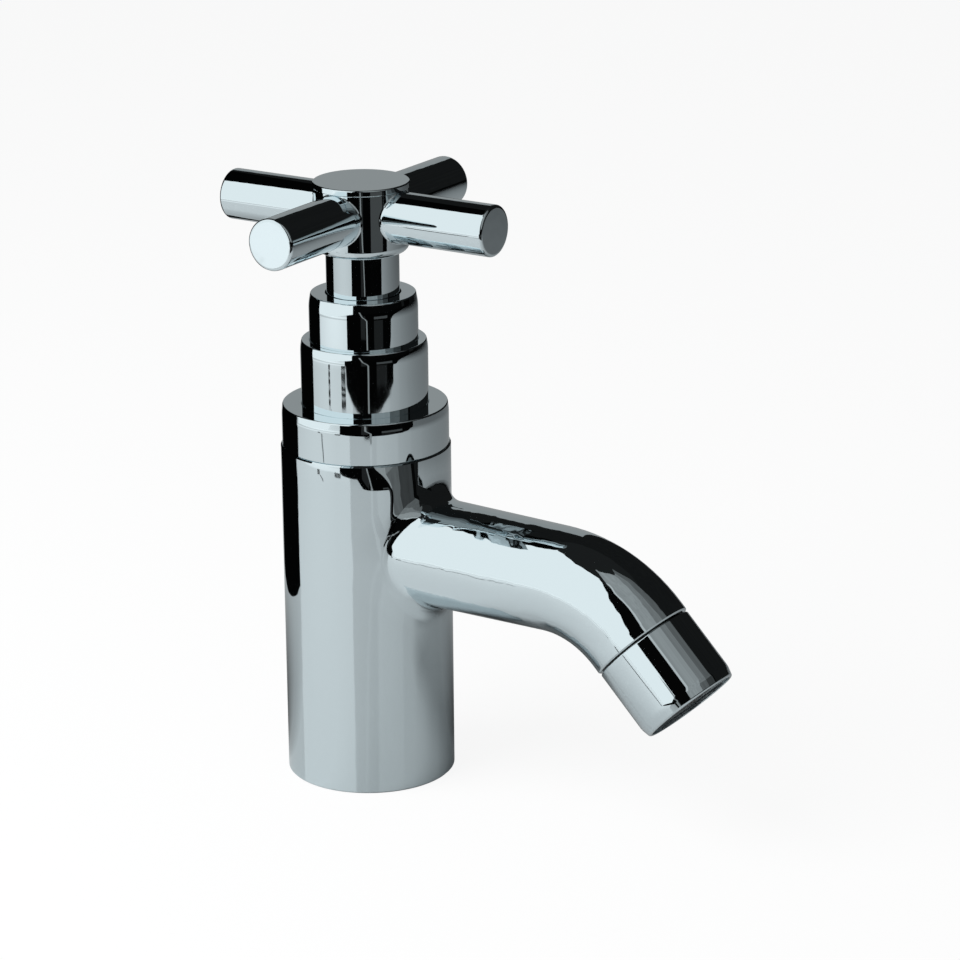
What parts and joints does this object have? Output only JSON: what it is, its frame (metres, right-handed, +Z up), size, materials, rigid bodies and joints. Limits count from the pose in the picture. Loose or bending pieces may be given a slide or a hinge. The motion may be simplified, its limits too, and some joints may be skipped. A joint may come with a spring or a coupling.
{
  "type": "cross handle pillar tap",
  "caption": "Deck-mounted pillar tap with a round body, bent round spout, stepped collar and cross handle that screws the valve open.",
  "frame": {"origin": "centre of the inlet thread at the base, on the deck the tap stands on", "axes": "+Z up the body's axis to the handle, +X along the straight run of the spout, +Y to the left of the spout seen from behind the body"},
  "size_m": [0.1482, 0.0804, 0.1585],
  "materials": {
    "polished_chrome": "mirror-polished chrome plate on brass",
    "machined_brass": "machined, uncoated",
    "black_rubber": "matt moulded rubber",
    "fibre": "pressed fibre",
    "steel_mesh": "woven stainless wire",
    "steel": "stainless socket screw",
    "grey_plastic": "moulded acetal"
  },
  "bodies": {
    "tap": {"tap_body": "polished_chrome", "base_seal": "black_rubber", "valve_seat": "machined_brass", "bonnet_washer": "fibre", "bonnet": "machined_brass", "gland_packing": "fibre", "gland_follower": "machined_brass", "gland_nut": "machined_brass", "collar_ring": "polished_chrome", "lower_sleeve": "polished_chrome", "upper_sleeve": "polished_chrome", "aerator_shell": "polished_chrome", "aerator_washer": "black_rubber", "aerator_screen": "steel_mesh", "aerator_cartridge": "grey_plastic"},
    "jumper": {"jumper_valve": "machined_brass", "tap_washer": "black_rubber", "washer_nut": "machined_brass"},
    "handle": {"spindle": "machined_brass", "handle_skirt": "polished_chrome", "handle_hub": "polished_chrome", "handle_arm_1": "polished_chrome", "handle_arm_2": "polished_chrome", "handle_arm_3": "polished_chrome", "handle_arm_4": "polished_chrome", "handle_screw": "steel", "handle_cap": "polished_chrome", "cap_ring": "black_rubber"}
  },
  "joints": [
    {"name": "valve_lift", "type": "slide", "parent": "tap", "child": "jumper", "axis": [0, 0, 1], "range_m": [0, 0.0046]},
    {"name": "handle_turn", "type": "hinge", "parent": "jumper", "child": "handle", "pos_m": [0, 0, 0.1502], "axis": [0, 0, 1], "range_deg": [0, 660]}
  ],
  "couplings": [
    {"joint": "valve_lift", "follows": "handle_turn", "m_per_rad": 0.00039789}
  ]
}
